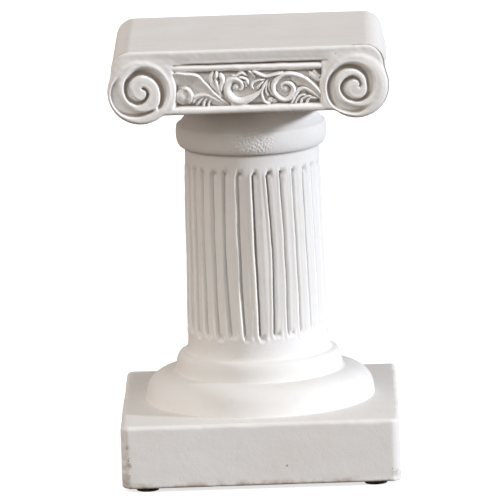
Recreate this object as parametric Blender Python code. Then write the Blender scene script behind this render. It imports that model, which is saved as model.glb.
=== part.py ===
# A small cast column: square plinth, two-tier turned base, fluted shaft, ring and neck,
# and a scrolled capital with a carved panel on its front. It stands on four round pads.
# Metres, +Z up, front towards -Y. The origin is on the ground under the middle.

import math

import bmesh
import bpy
from mathutils import Vector

# Square plinth
PLINTH_WIDTH = 0.142
PLINTH_DEPTH = 0.142
PLINTH_HEIGHT = 0.0325
PLINTH_EDGE_RADIUS = 0.0022
PLINTH_CORNER_RADIUS = 0.0045

# Stick-on pads
PAD_DIAMETER = 0.012
PAD_HEIGHT = 0.002
PAD_INSET = 0.0130
PAD_END_INSET = 0.0100
PAD_EDGE_RADIUS = 0.0005
PAD_CLEARANCE = 0.0003

# Turned base
LOWER_TIER_RADIUS = 0.0588
LOWER_TIER_HEIGHT = 0.0145
LOWER_TIER_STEP = 0.0160
UPPER_TIER_RADIUS = 0.0428
UPPER_TIER_HEIGHT = 0.0100
FLARE_REACH = 0.0023
FLARE_HEIGHT = 0.0070
TIER_FULLNESS = 0.78

# Shaft, with flutes that stop short of its foot and head
SHAFT_FOOT_RADIUS = 0.0362
SHAFT_HEAD_RADIUS = 0.0345
SHAFT_LENGTH = 0.0997
SHAFT_SWELL = 0.0002
FLUTE_COUNT = 30
FLUTE_TURN = math.radians(3.8)
FLUTE_WIDTH = 0.0052
FLUTE_DEPTH = 0.0018
FLUTE_FOOT_MARGIN = 0.0045
FLUTE_HEAD_MARGIN = 0.0084

# Ring and neck
RING_REACH = 0.0043
RING_LOWER_HEIGHT = 0.0073
RING_FULLNESS = 0.7
RING_CUT_ANGLE = math.radians(38)
RING_SHOULDER_HEIGHT = 0.0040
NECK_RADIUS = 0.0340
NECK_HEIGHT = 0.0096

# Capital
CAPITAL_DEPTH = 0.1154
CAPITAL_HEIGHT = 0.0331
CAPITAL_EDGE_RADIUS = 0.0014
ABACUS_WIDTH = 0.1380
ABACUS_CORNER_RADIUS = 0.0100
VOLUTE_RADIUS = 0.0166
VOLUTE_OVERHANG = 0.0021
VOLUTE_DROP = 0.0207
BOLSTER_RADIUS = 0.0154
COLLAR_DEPTH = 0.0070
COLLAR_SLOPE = 0.0090

# Spiral channel in each volute
CHANNEL_WIDTH = 0.0046
CHANNEL_END_WIDTH = 0.0023
CHANNEL_SINK = 0.0022
CHANNEL_START_RADIUS = 0.0138
CHANNEL_END_RADIUS = 0.0024
CHANNEL_TURNS = 1.75
CHANNEL_START_ANGLE = math.radians(158)

# Fascia, beads and the carved panel between them
FASCIA_HEIGHT = 0.0072
UPPER_BEAD_HEIGHT = 0.0034
LOWER_BEAD_HEIGHT = 0.0042
PANEL_SINK = 0.0030
BEAD_RISE = 0.0029
BEAD_SEAT = 0.0020
CARVING_RISE = 0.0024

# Colours, roughness
GYPSUM_COLOUR = (0.80, 0.78, 0.75, 1.0)
GYPSUM_ROUGHNESS = 0.85
PAD_COLOUR = (0.06, 0.07, 0.06, 1.0)
PAD_ROUGHNESS = 0.8

# Heights above the ground, and the capital's lengths, that follow from the sizes above
PLINTH_FOOT = PAD_HEIGHT + PAD_CLEARANCE
PLINTH_TOP = PLINTH_FOOT + PLINTH_HEIGHT
LOWER_TIER_TOP = PLINTH_TOP + LOWER_TIER_HEIGHT
UPPER_TIER_TOP = LOWER_TIER_TOP + UPPER_TIER_HEIGHT
SHAFT_FOOT = UPPER_TIER_TOP + FLARE_HEIGHT
SHAFT_HEAD = SHAFT_FOOT + SHAFT_LENGTH
RING_MIDDLE = SHAFT_HEAD + RING_LOWER_HEIGHT
RING_CREASE = RING_MIDDLE + RING_LOWER_HEIGHT * math.sin(RING_CUT_ANGLE)
NECK_FOOT = RING_CREASE + RING_SHOULDER_HEIGHT
CAPITAL_UNDERSIDE = NECK_FOOT + NECK_HEIGHT
CAPITAL_TOP = CAPITAL_UNDERSIDE + CAPITAL_HEIGHT
VOLUTE_MIDDLE = CAPITAL_TOP - VOLUTE_DROP
VOLUTE_SPACING = ABACUS_WIDTH + 2 * VOLUTE_OVERHANG - 2 * VOLUTE_RADIUS
PANEL_TOP = CAPITAL_TOP - FASCIA_HEIGHT - UPPER_BEAD_HEIGHT
PANEL_FOOT = CAPITAL_UNDERSIDE + LOWER_BEAD_HEIGHT
PANEL_HEIGHT = PANEL_TOP - PANEL_FOOT
PANEL_LENGTH = VOLUTE_SPACING - 2 * VOLUTE_RADIUS

# How far one solid reaches into the next, and a cutter past the face that it cuts
OVERLAP = 0.002

TURNED_SEGMENTS = 2 * FLUTE_COUNT
FLUTE_SIDES = 10
BEAD_SIDES = 12
CARVING_SIDES = 6
STEPS_A_TURN = 16
FRONT = -1
BACK = 1
LEFT = -1
RIGHT = 1


def clear_scene():
    for old in list(bpy.data.objects):
        bpy.data.objects.remove(old, do_unlink=True)


def material(name, colour, roughness):
    made = bpy.data.materials.new(name)
    made.use_nodes = True
    shader = made.node_tree.nodes["Principled BSDF"]
    shader.inputs["Base Color"].default_value = colour
    shader.inputs["Roughness"].default_value = roughness
    shader.inputs["Metallic"].default_value = 0.0
    made.diffuse_color = colour
    return made


def loft(sets_of_rings):
    """One mesh of closed bodies, each a row of rings with as many points, capped at both ends."""
    shape = bmesh.new()
    for rings in sets_of_rings:
        rows = [[shape.verts.new(point) for point in ring] for ring in rings]
        count = len(rows[0])
        for low, high in zip(rows, rows[1:]):
            for i in range(count):
                j = (i + 1) % count
                shape.faces.new((low[i], low[j], high[j], high[i]))
        shape.faces.new(reversed(rows[0]))
        shape.faces.new(rows[-1])
    bmesh.ops.recalc_face_normals(shape, faces=shape.faces)
    return shape


def place(name, shape, finish=None):
    mesh = bpy.data.meshes.new(name)
    shape.to_mesh(mesh)
    shape.free()
    thing = bpy.data.objects.new(name, mesh)
    bpy.context.scene.collection.objects.link(thing)
    if finish:
        mesh.materials.append(finish)
        mesh.shade_smooth()
        mesh.set_sharp_from_angle(angle=math.radians(35))
    else:
        thing.hide_render = True
        thing.display_type = "WIRE"
    return thing


def boolean(thing, operation, tool):
    """Join a tool to a solid or cut it away; a list of tools acts at once as one collection."""
    modifier = thing.modifiers.new(operation.title(), "BOOLEAN")
    modifier.operation = operation
    modifier.solver = "EXACT"
    if isinstance(tool, list):
        group = bpy.data.collections.new(thing.name + "_" + operation.lower())
        for member in tool:
            group.objects.link(member)
        modifier.operand_type = "COLLECTION"
        modifier.collection = group
    else:
        modifier.object = tool


def circle(radius, height, count, turn=0.0):
    angles = [turn + 2 * math.pi * i / count for i in range(count)]
    return [Vector((radius * math.sin(angle), -radius * math.cos(angle), height)) for angle in angles]


def rounded_rectangle(width, depth, radius, height, corner_steps=4):
    points = []
    for quarter in range(4):
        side_x = 1 if quarter in (0, 3) else -1
        side_y = 1 if quarter < 2 else -1
        middle_x = side_x * (width / 2 - radius)
        middle_y = side_y * (depth / 2 - radius)
        for step in range(corner_steps + 1):
            angle = math.pi / 2 * (quarter + step / corner_steps)
            x = middle_x + radius * math.cos(angle)
            y = middle_y + radius * math.sin(angle)
            points.append(Vector((x, y, height)))
    return points


def plinth_shape():
    rings = []
    steps = 3
    for end, edge_height in ((-1, PLINTH_FOOT), (1, PLINTH_TOP)):
        rows = []
        for step in range(steps + 1):
            angle = math.pi / 2 * step / steps
            inset = PLINTH_EDGE_RADIUS * (1 - math.sin(angle))
            height = edge_height - end * PLINTH_EDGE_RADIUS * (1 - math.cos(angle))
            corner = PLINTH_CORNER_RADIUS - inset
            rows.append(rounded_rectangle(PLINTH_WIDTH - 2 * inset, PLINTH_DEPTH - 2 * inset, corner, height))
        rings += rows if end < 0 else rows[::-1]
    return loft([rings])


def round_over(foot_radius, step, foot, height, steps):
    """A full quarter-round: upright where it starts, level where it ends."""
    rows = []
    for i in range(steps + 1):
        angle = math.pi / 2 * i / steps
        reach = math.cos(angle) ** TIER_FULLNESS if i < steps else 0.0
        rise = math.sin(angle) ** TIER_FULLNESS
        rows.append((foot_radius - step + step * reach, foot + height * rise))
    return rows


def shaft_radius(height):
    share = (height - SHAFT_FOOT) / SHAFT_LENGTH
    swell = SHAFT_SWELL * math.sin(math.pi * share)
    return SHAFT_FOOT_RADIUS + (SHAFT_HEAD_RADIUS - SHAFT_FOOT_RADIUS) * share + swell


def turned_profile():
    """Radius and height from the plinth up to inside the capital."""
    rows = [(LOWER_TIER_RADIUS, PLINTH_TOP - OVERLAP)]
    rows += round_over(LOWER_TIER_RADIUS, LOWER_TIER_STEP, PLINTH_TOP, LOWER_TIER_HEIGHT, 4)
    upper_step = UPPER_TIER_RADIUS - SHAFT_FOOT_RADIUS - FLARE_REACH
    rows += round_over(UPPER_TIER_RADIUS, upper_step, LOWER_TIER_TOP, UPPER_TIER_HEIGHT, 3)[1:]
    flare_steps = 3
    for i in range(1, flare_steps + 1):
        angle = math.pi / 2 * i / flare_steps
        rows.append((SHAFT_FOOT_RADIUS + FLARE_REACH * (1 - math.sin(angle)),
                     UPPER_TIER_TOP + FLARE_HEIGHT * (1 - math.cos(angle))))
    rows.append((shaft_radius(SHAFT_FOOT + SHAFT_LENGTH / 2), SHAFT_FOOT + SHAFT_LENGTH / 2))
    ring_steps = 5
    for i in range(ring_steps + 1):
        angle = -math.pi / 2 + (RING_CUT_ANGLE + math.pi / 2) * i / ring_steps
        reach = max(0.0, math.cos(angle)) ** RING_FULLNESS
        height = RING_MIDDLE + RING_LOWER_HEIGHT * math.sin(angle)
        rows.append((SHAFT_HEAD_RADIUS + RING_REACH * reach, height))
    rows.append((NECK_RADIUS, NECK_FOOT))
    rows.append((NECK_RADIUS, CAPITAL_UNDERSIDE + OVERLAP))
    return rows


def turned_shape():
    rings = [circle(radius, height, TURNED_SEGMENTS, FLUTE_TURN) for radius, height in turned_profile()]
    return loft([rings])


def flute_cutters():
    """Round-ended rods that lie along the shaft, their axis just outside it."""
    rod = ((FLUTE_WIDTH / 2) ** 2 + FLUTE_DEPTH ** 2) / (2 * FLUTE_DEPTH)
    foot = SHAFT_FOOT + FLUTE_FOOT_MARGIN + FLUTE_WIDTH / 2
    head = SHAFT_HEAD - FLUTE_HEAD_MARGIN - FLUTE_WIDTH / 2
    end_angles = [math.radians(degrees) for degrees in (83, 60, 32)]
    stations = [(foot - rod * math.sin(angle), math.cos(angle)) for angle in end_angles]
    stations += [(foot, 1.0), (head, 1.0)]
    stations += [(head + rod * math.sin(angle), math.cos(angle)) for angle in reversed(end_angles)]
    cutters = []
    for k in range(FLUTE_COUNT):
        angle = FLUTE_TURN + 2 * math.pi * k / FLUTE_COUNT
        outward = Vector((math.sin(angle), -math.cos(angle), 0.0))
        along = Vector((math.cos(angle), math.sin(angle), 0.0))
        rings = []
        for height, size in stations:
            axis = shaft_radius(height) + rod - FLUTE_DEPTH
            middle = outward * axis + Vector((0.0, 0.0, height))
            turns = [2 * math.pi * i / FLUTE_SIDES for i in range(FLUTE_SIDES)]
            reach = rod * size
            rings.append([middle + outward * (reach * math.cos(turn)) + along * (reach * math.sin(turn))
                          for turn in turns])
        cutters.append(rings)
    return loft(cutters)


def capital_outline(y, inset, bolster):
    """The front outline of the capital: flat top, round shoulders, a scroll at each end."""
    side = ABACUS_WIDTH / 2 - inset
    top = CAPITAL_TOP - inset
    corner = ABACUS_CORNER_RADIUS - inset
    scroll = bolster - inset
    middle = VOLUTE_SPACING / 2
    underside = CAPITAL_UNDERSIDE + inset
    half = []
    corner_steps = 5
    for i in range(corner_steps + 1):
        angle = math.pi / 2 * (1 - i / corner_steps)
        half.append((side - corner + corner * math.cos(angle), top - corner + corner * math.sin(angle)))
    first = math.acos(min(0.99, (side - middle) / scroll))
    last = -math.pi - math.asin(max(-0.99, (underside - VOLUTE_MIDDLE) / scroll))
    for begin, end, steps in ((first, 0.0, 2), (0.0, last, 12)):
        for i in range(steps if begin else steps + 1):
            angle = begin + (end - begin) * i / steps
            half.append((middle + scroll * math.cos(angle), VOLUTE_MIDDLE + scroll * math.sin(angle)))
    right = [Vector((x, y, z)) for x, z in half]
    left = [Vector((-x, y, z)) for x, z in reversed(half)]
    return right + left


def capital_shape():
    """The outline carried front to back, with full collars at the ends and a slimmer bolster between."""
    rows = []
    steps = 3
    for i in range(steps + 1):
        angle = math.pi / 2 * i / steps
        depth = CAPITAL_EDGE_RADIUS * (1 - math.cos(angle))
        inset = CAPITAL_EDGE_RADIUS * (1 - math.sin(angle))
        rows.append((depth, inset, VOLUTE_RADIUS))
    rows.append((COLLAR_DEPTH, 0.0, VOLUTE_RADIUS))
    rows.append((COLLAR_DEPTH + COLLAR_SLOPE / 2, 0.0, (VOLUTE_RADIUS + BOLSTER_RADIUS) / 2))
    rows.append((COLLAR_DEPTH + COLLAR_SLOPE, 0.0, BOLSTER_RADIUS))
    half = CAPITAL_DEPTH / 2
    front = [capital_outline(depth - half, inset, bolster) for depth, inset, bolster in rows]
    back = [capital_outline(half - depth, inset, bolster) for depth, inset, bolster in reversed(rows)]
    return loft([front + back])


def ribbon(points, half_widths, half_height, face_y, sides):
    """Rings of a rod that lies in an upright plane along the points, flattened to its own height."""
    rings = []
    last = len(points) - 1
    widest = max(half_widths)
    for i, point in enumerate(points):
        before = points[max(0, i - 1)]
        after = points[min(last, i + 1)]
        run = (after - before).normalized()
        across = Vector((-run.z, 0.0, run.x)) * half_widths[i]
        outward = Vector((0.0, half_height * min(1.0, 2 * half_widths[i] / widest), 0.0))
        middle = point + Vector((0.0, face_y, 0.0))
        turns = [2 * math.pi * k / sides for k in range(sides)]
        rings.append([middle + across * math.cos(turn) + outward * math.sin(turn) for turn in turns])
    return rings


def channel_cutters():
    """Four spirals, one in each volute, which wind inwards from the outer side."""
    cutters = []
    steps = round(CHANNEL_TURNS * STEPS_A_TURN)
    for face in (FRONT, BACK):
        for end in (LEFT, RIGHT):
            points = []
            widths = []
            for i in range(steps + 1):
                share = i / steps
                angle = CHANNEL_START_ANGLE + 2 * math.pi * CHANNEL_TURNS * share
                radius = CHANNEL_START_RADIUS + (CHANNEL_END_RADIUS - CHANNEL_START_RADIUS) * share
                x = VOLUTE_SPACING / 2 - radius * math.cos(angle)
                points.append(Vector((end * x, 0.0, VOLUTE_MIDDLE + radius * math.sin(angle))))
                opening = min(1.0, 0.25 + 6.0 * share)
                widths.append(opening * (CHANNEL_WIDTH + (CHANNEL_END_WIDTH - CHANNEL_WIDTH) * share) / 2)
            cutters.append(ribbon(points, widths, CHANNEL_SINK, face * CAPITAL_DEPTH / 2, CARVING_SIDES))
    return loft(cutters)


def box_rings(width, foot, top, near, far):
    half = width / 2
    corners = ((-half, foot), (half, foot), (half, top), (-half, top))
    return [[Vector((x, y, z)) for x, z in corners] for y in (near, far)]


def panel_cutters():
    """The sunk band between the fascia and the underside, on both faces."""
    foot = CAPITAL_UNDERSIDE - OVERLAP
    top = CAPITAL_TOP - FASCIA_HEIGHT
    cutters = []
    for face in (FRONT, BACK):
        outside = face * (CAPITAL_DEPTH / 2 + OVERLAP)
        floor = face * (CAPITAL_DEPTH / 2 - PANEL_SINK)
        cutters.append(box_rings(PANEL_LENGTH, foot, top, outside, floor))
    return loft(cutters)


def bead_shape():
    """Two beads on each face, above and below the panel, let into the solid at both ends."""
    beads = []
    half = PANEL_LENGTH / 2 + BEAD_SEAT
    for face in (FRONT, BACK):
        floor = face * (CAPITAL_DEPTH / 2 - PANEL_SINK)
        for foot, height in ((PANEL_TOP, UPPER_BEAD_HEIGHT), (CAPITAL_UNDERSIDE, LOWER_BEAD_HEIGHT)):
            points = [Vector((x, 0.0, foot + height / 2)) for x in (-half, half)]
            beads.append(ribbon(points, [height / 2] * 2, BEAD_RISE, floor, BEAD_SIDES))
    return loft(beads)


def on_panel(u, v, flip=1):
    """A place on the carved panel: u from -1 to 1 along it, v from 0 to 1 up it."""
    return Vector((flip * u * PANEL_LENGTH / 2, 0.0, PANEL_FOOT + v * PANEL_HEIGHT))


def curve_through(controls, steps):
    """Points along a smooth curve through a few chosen ones."""
    ends = [controls[0] * 2 - controls[1]] + list(controls) + [controls[-1] * 2 - controls[-2]]
    points = []
    for k in range(len(controls) - 1):
        a, b, c, d = ends[k:k + 4]
        for i in range(steps):
            t = i / steps
            bend = 2 * a - 5 * b + 4 * c - d
            twist = 3 * b - a - 3 * c + d
            points.append((2 * b + (c - a) * t + bend * t ** 2 + twist * t ** 3) / 2)
    points.append(controls[-1])
    return points


def stroke(places, width, flip=1, steps=3, foot_share=0.3, head_share=0.3):
    """A carved ridge along a curve, which thins towards its ends."""
    points = curve_through([on_panel(u, v, flip) for u, v in places], steps)
    last = len(points) - 1
    widths = []
    for i in range(last + 1):
        share = i / last
        thin = min(1.0, foot_share + 3.0 * share, head_share + 3.0 * (1 - share))
        widths.append(width * PANEL_HEIGHT / 2 * thin)
    return points, widths


def scroll(u, v, start_angle, turns, start_radius, end_radius, width, flip=1):
    """A carved ridge that winds into an eye, in shares of the panel's height."""
    middle = on_panel(u, v, flip)
    steps = round(abs(turns) * STEPS_A_TURN)
    points = []
    widths = []
    for i in range(steps + 1):
        share = i / steps
        angle = math.radians(start_angle) + 2 * math.pi * turns * share
        radius = PANEL_HEIGHT * (start_radius + (end_radius - start_radius) * share)
        points.append(middle + Vector((flip * radius * math.cos(angle), 0.0, radius * math.sin(angle))))
        widths.append(width * PANEL_HEIGHT / 2 * min(1.0, 0.4 + 4 * share) * (1 - 0.35 * share))
    return points, widths


def front_carving():
    """Running scrolls between leaves, from the berry at the left to the leaf at the right."""
    return [
        scroll(-0.87, 0.285, 100, -0.93, 0.25, 0.25, 0.13),
        stroke(((-0.87, 0.285), (-0.84, 0.31)), 0.24, foot_share=0.8, head_share=0.8),
        stroke(((-0.93, 0.94), (-0.70, 0.93), (-0.53, 0.64), (-0.37, 0.17)), 0.17),
        stroke(((-0.31, 0.10), (-0.50, 0.31), (-0.64, 0.22), (-0.70, 0.05)), 0.15),
        stroke(((-0.50, 0.25), (-0.56, 0.04)), 0.13),
        stroke(((-0.35, 0.20), (-0.38, 0.55), (-0.44, 0.80), (-0.42, 0.94)), 0.34, foot_share=0.15),
        scroll(-0.16, 0.505, 322, -0.98, 0.47, 0.17, 0.17),
        stroke(((-0.165, 0.50), (-0.15, 0.52)), 0.15, foot_share=0.8, head_share=0.8),
        stroke(((0.00, 0.22), (0.10, 0.40), (0.27, 0.66)), 0.19),
        stroke(((-0.16, 0.87), (-0.10, 0.90), (-0.02, 0.82)), 0.17),
        stroke(((-0.05, 0.72), (0.02, 0.60)), 0.20),
        stroke(((0.02, 0.95), (0.08, 0.86), (0.20, 0.81), (0.32, 0.82), (0.45, 0.90)), 0.14),
        stroke(((0.05, 0.56), (0.11, 0.65), (0.21, 0.69)), 0.13),
        stroke(((0.26, 0.66), (0.19, 0.46), (0.185, 0.25), (0.24, 0.06)), 0.13),
        stroke(((0.28, 0.62), (0.27, 0.39), (0.33, 0.30)), 0.11),
        stroke(((0.28, 0.14), (0.34, 0.12)), 0.22, foot_share=0.8, head_share=0.8),
        scroll(0.49, 0.427, 60, 1.32, 0.46, 0.10, 0.19),
        stroke(((0.57, 0.86), (0.74, 0.74), (0.87, 0.50), (0.95, 0.18)), 0.26),
        stroke(((0.56, 0.03), (0.61, 0.24), (0.67, 0.42), (0.80, 0.42)), 0.15),
        stroke(((0.68, 0.05), (0.72, 0.19), (0.80, 0.25), (0.93, 0.14)), 0.13),
        stroke(((0.78, 0.04), (0.83, 0.14)), 0.11),
        stroke(((0.82, 0.80), (0.94, 0.84)), 0.24, foot_share=0.4, head_share=0.9),
    ]


def back_carving():
    """Two plain scrolls that meet in a leaf, seen from behind."""
    carving = [stroke(((0.0, 0.06), (0.0, 0.50), (0.0, 0.92)), 0.34)]
    for flip in (LEFT, RIGHT):
        carving.append(scroll(0.40, 0.47, 200, -1.35, 0.44, 0.10, 0.18, flip))
        carving.append(stroke(((0.06, 0.10), (0.12, 0.36), (0.20, 0.50)), 0.15, flip))
        carving.append(stroke(((0.46, 0.88), (0.66, 0.72), (0.80, 0.40), (0.94, 0.12)), 0.22, flip))
        carving.append(stroke(((0.72, 0.90), (0.90, 0.78)), 0.20, flip))
    return carving


def carving_tools():
    tools = []
    for face, carving in ((FRONT, front_carving()), (BACK, back_carving())):
        floor = face * (CAPITAL_DEPTH / 2 - PANEL_SINK)
        side = "front" if face == FRONT else "back"
        for k, (points, widths) in enumerate(carving):
            ridge = ribbon(points, widths, CARVING_RISE, floor, CARVING_SIDES)
            tools.append(place(f"carving_{side}_{k}", loft([ridge])))
    return tools


def make_capital():
    capital = place("capital_form", capital_shape())
    boolean(capital, "DIFFERENCE", place("panel_cutters", panel_cutters()))
    boolean(capital, "DIFFERENCE", place("channel_cutters", channel_cutters()))
    boolean(capital, "UNION", place("beads", bead_shape()))
    boolean(capital, "UNION", carving_tools())
    return capital


def make_shaft():
    shaft = place("turned_form", turned_shape())
    boolean(shaft, "DIFFERENCE", place("flute_cutters", flute_cutters()))
    return shaft


def make_column(finish):
    column = place("column", plinth_shape(), finish)
    boolean(column, "UNION", make_shaft())
    boolean(column, "UNION", make_capital())
    return column


def pad_shape():
    segments = 16
    radius = PAD_DIAMETER / 2
    rings = [
        circle(radius - PAD_EDGE_RADIUS, 0.0, segments),
        circle(radius, PAD_EDGE_RADIUS, segments),
        circle(radius, PAD_HEIGHT, segments),
    ]
    return loft([rings])


def make_pads(finish):
    across = PLINTH_WIDTH / 2 - PAD_INSET
    along = PLINTH_DEPTH / 2 - PAD_END_INSET
    for row, face in (("front", FRONT), ("rear", BACK)):
        for side, end in (("left", LEFT), ("right", RIGHT)):
            pad = place(f"foot_pad_{row}_{side}", pad_shape(), finish)
            pad.location = (end * across, face * along, 0.0)


clear_scene()
make_column(material("white gypsum", GYPSUM_COLOUR, GYPSUM_ROUGHNESS))
make_pads(material("dark pad", PAD_COLOUR, PAD_ROUGHNESS))
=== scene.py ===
import math

import bpy
import numpy as np
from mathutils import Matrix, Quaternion, Vector


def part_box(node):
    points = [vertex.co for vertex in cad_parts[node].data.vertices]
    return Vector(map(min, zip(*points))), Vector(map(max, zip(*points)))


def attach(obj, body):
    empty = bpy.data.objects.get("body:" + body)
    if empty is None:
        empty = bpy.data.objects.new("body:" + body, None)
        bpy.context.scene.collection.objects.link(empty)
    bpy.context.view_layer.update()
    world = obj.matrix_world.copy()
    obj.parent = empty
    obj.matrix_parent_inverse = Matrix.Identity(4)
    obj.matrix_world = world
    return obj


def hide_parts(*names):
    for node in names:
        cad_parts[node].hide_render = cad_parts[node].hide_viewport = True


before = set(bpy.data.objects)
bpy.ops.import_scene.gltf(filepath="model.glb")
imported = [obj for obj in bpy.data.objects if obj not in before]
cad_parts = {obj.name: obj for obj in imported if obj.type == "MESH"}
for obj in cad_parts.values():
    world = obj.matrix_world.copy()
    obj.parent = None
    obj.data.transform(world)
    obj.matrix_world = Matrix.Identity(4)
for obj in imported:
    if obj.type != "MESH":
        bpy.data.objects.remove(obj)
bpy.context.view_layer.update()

mm = 0.001
left, right = -1, 1
front, back = -1, 1

# Heights and places that every piece shares, in millimetres. The column's own box gives the two ends.
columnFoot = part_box("column")[0][2] / mm
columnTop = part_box("column")[1][2] / mm
plinthTop = columnFoot + 32.5
lowerTierTop = columnFoot + 47.0
upperTierTop = columnFoot + 57.0
shaftFoot = columnFoot + 64.0
shaftHead = columnTop - 58.494
neckFoot = columnTop - 42.7
underside = columnTop - 33.1
voluteMiddle = columnTop - 20.7
panelFoot = columnTop - 28.9
panelTop = columnTop - 10.6
capitalHalfDepth = 57.7
voluteSpacing = 109.0
voluteRadius = 16.6


# Rises from 0 to 1 between two values, level at both ends: t * t * (3 - 2t)
def smoothStep(low, high, value):
    t = np.clip((value - low) / (high - low), 0.0, 1.0)
    return t * t * (3.0 - 2.0 * t)


# A round dent or bump: (1 - t * t) squared inside the radius, 0 outside it
def dome(distance, radius):
    t = np.clip(distance / radius, 0.0, 1.0)
    return (1.0 - t * t) ** 2


# A slow uneven swell of about -1 to 1: the sum of sine waves in seeded directions
def ripple(seed, size, *places, waves=9):
    draw = np.random.default_rng(seed)
    total = 0.0
    for wave in range(waves):
        direction = draw.normal(size=len(places))
        direction /= np.linalg.norm(direction)
        length = size * draw.uniform(0.7, 1.6)
        start = draw.uniform(0.0, 2.0 * math.pi)
        along = sum(part * place for part, place in zip(direction, places))
        total = total + np.sin(2.0 * math.pi * along / length + start)
    return 0.7 * total / math.sqrt(waves)


# The higher or lower of two surfaces, with the crease between them rounded over about the given size
def softMax(a, b, size):
    blend = np.clip(0.5 + 0.5 * (a - b) / size, 0.0, 1.0)
    return b + (a - b) * blend + size * blend * (1.0 - blend)


def softMin(a, b, size):
    return -softMax(-a, -b, size)


# Catmull-Rom curve: place 0 is the first knot, place 1 the second, and so on
def throughKnots(knots, place):
    knots = np.asarray(knots, float)
    last = len(knots) - 1
    place = np.clip(place, 0.0, last)
    step = np.minimum(np.floor(place).astype(int), last - 1)
    t = place - step
    if knots.ndim > 1:
        t = t[..., None]
    a, b, c, d = (knots[np.clip(step + k, 0, last)] for k in (-1, 0, 1, 2))
    return 0.5 * (2 * b + (c - a) * t
                  + (2 * a - 5 * b + 4 * c - d) * t ** 2
                  + (3 * b - a - 3 * c + d) * t ** 3)


# The outer border of a grid of points, once round: first row, last column, and then the last row and the
# first column backwards
def border(rows, columns):
    index = np.arange(rows * columns).reshape(rows, columns)
    return np.concatenate([index[0, :-1], index[:-1, -1], index[-1, :0:-1], index[:0:-1, 0]])


def addObject(name, data):
    thing = bpy.data.objects.new(name, data)
    bpy.context.scene.collection.objects.link(thing)
    return thing


# A closed mesh in millimetres: rings of points in order, with each end closed by a grid whose border is
# the next ring, or by fans to one middle point. Faces are turned round if the volume comes out negative.
def closedMesh(name, nearEnd, rings, farEnd):
    points, quads, fans = [], [], []
    count = 0

    def add(block):
        nonlocal count
        block = np.asarray(block, float).reshape(-1, 3)
        points.append(block)
        count += len(block)
        return np.arange(count - len(block), count)

    ringIndex = [add(ring) for ring in rings]
    for end, isNear in ((nearEnd, True), (farEnd, False)):
        end = np.asarray(end, float)
        if end.ndim == 3:
            rowCount, columnCount = end.shape[:2]
            cells = add(end).reshape(rowCount, columnCount)
            a, b, c, d = cells[:-1, :-1], cells[:-1, 1:], cells[1:, 1:], cells[1:, :-1]
            order = (a, b, c, d) if isNear else (a, d, c, b)
            quads.append(np.stack([corner.ravel() for corner in order], axis=1))
            edge = cells.ravel()[border(rowCount, columnCount)]
            ringIndex.insert(0 if isNear else len(ringIndex), edge)
        else:
            middle = add(end)[0]
            edge = ringIndex[0 if isNear else -1]
            following = np.roll(edge, -1)
            middles = np.full_like(edge, middle)
            order = (middles, edge, following) if isNear else (edge, middles, following)
            fans.append(np.stack(order, axis=1))
    for near, far in zip(ringIndex, ringIndex[1:]):
        quads.append(np.stack([near, far, np.roll(far, -1), np.roll(near, -1)], axis=1))

    place = np.concatenate(points) * mm
    quads = np.concatenate(quads)
    halves = np.concatenate([quads[:, [0, 1, 2]], quads[:, [0, 2, 3]]] + fans)
    corners = place[halves]
    volume = np.einsum("ij,ij->i", corners[:, 0], np.cross(corners[:, 1], corners[:, 2])).sum()
    turn = 1 if volume > 0 else -1
    faces = quads[:, ::turn].tolist()
    for fan in fans:
        faces += fan[:, ::turn].tolist()
    mesh = bpy.data.meshes.new(name)
    mesh.from_pydata(place.tolist(), [], faces)
    mesh.shade_smooth()
    print(f"{name}: {len(place)} points, {len(halves)} triangles")
    return addObject(name, mesh)


# How hollow each point is, kept with the mesh for its finish to read: 1 in a deep hollow, 0 on an even
# surface and -1 on a sharp crest. The finish paints shade into the hollows and a highlight onto the crests.
# The values belong to the points from number start on.
def markHollows(piece, start, hollow):
    mesh = piece.data
    store = mesh.attributes.get("hollow") or mesh.attributes.new("hollow", "FLOAT", "POINT")
    values = np.zeros(len(mesh.vertices), np.float32)
    store.data.foreach_get("value", values)
    values[start:start + hollow.size] = np.clip(hollow, -1.0, 1.0).ravel()
    store.data.foreach_set("value", values)


# A grid averaged over a square window of so many cells either way, by differences of running sums
def blurred(grid, reach):
    for axis in (0, 1):
        padded = np.concatenate([np.repeat(grid.take([0], axis), reach + 1, axis), grid,
                                 np.repeat(grid.take([-1], axis), reach, axis)], axis)
        running = np.cumsum(padded, axis)
        span = 2 * reach + 1
        count = grid.shape[axis]
        grid = (running.take(range(span, span + count), axis) - running.take(range(count), axis)) / span
    return grid


# Finish the making of a piece: what it rides on, what it stands for and what it is made of
def settle(piece, finish, slotName, *nodes):
    piece.data.materials.append(finish)
    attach(piece, "root")
    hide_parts(*nodes)
    return piece


# Plinth

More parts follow.
